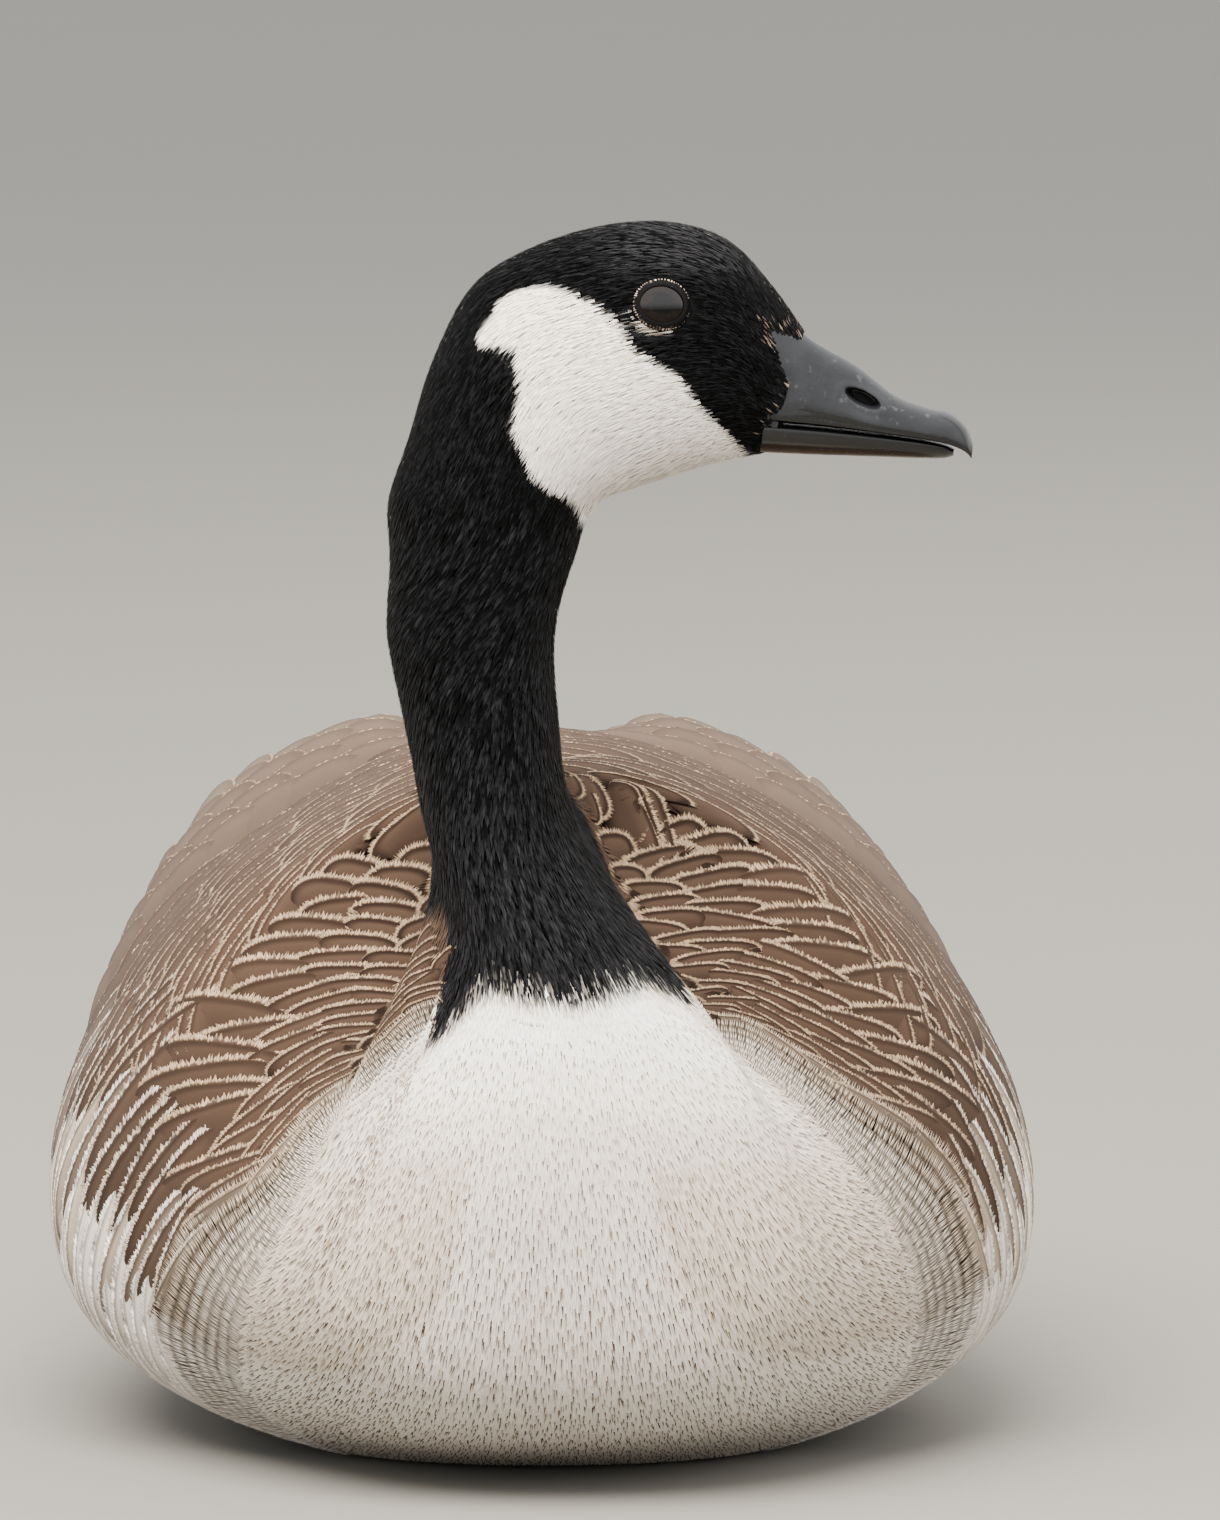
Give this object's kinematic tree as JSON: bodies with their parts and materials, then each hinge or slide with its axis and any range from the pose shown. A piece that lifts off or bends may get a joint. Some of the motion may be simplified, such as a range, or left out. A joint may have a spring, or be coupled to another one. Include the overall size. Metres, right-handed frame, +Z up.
{
  "type": "canada goose",
  "caption": "Life-size goose afloat, head turned to its left, wings folded over its back, feet tucked forwards under the belly, resting on the flat of its belly.",
  "frame": {"origin": "middle of the flat under the belly, on which the bird rests", "axes": "+Z up, the bird's body faces -Y and its right side is -X, so the bill, turned to its left, points to +X"},
  "size_m": [0.2516, 0.5327, 0.3192],
  "materials": {
    "body_feathers": "soft matt feathers, cream breast to brown back",
    "black_feathers": "soft matt black feathers with a faint sheen",
    "wing_feathers": "matt brown feathers with pale fringes",
    "bill_horn": "satin dark slate horn",
    "eye": "wet glossy dark brown",
    "leg_skin": "satin black scaly skin"
  },
  "bodies": {
    "root": {"torso": "body_feathers", "neck_lower": "black_feathers", "neck_upper": "black_feathers", "head": "black_feathers", "bill_upper": "bill_horn", "bill_lower": "bill_horn", "eye_left": "eye", "eye_right": "eye", "wing_left": "wing_feathers", "wing_right": "wing_feathers", "tail": "black_feathers", "leg_left": "leg_skin", "leg_right": "leg_skin", "foot_left": "leg_skin", "foot_right": "leg_skin"}
  },
  "joints": []
}
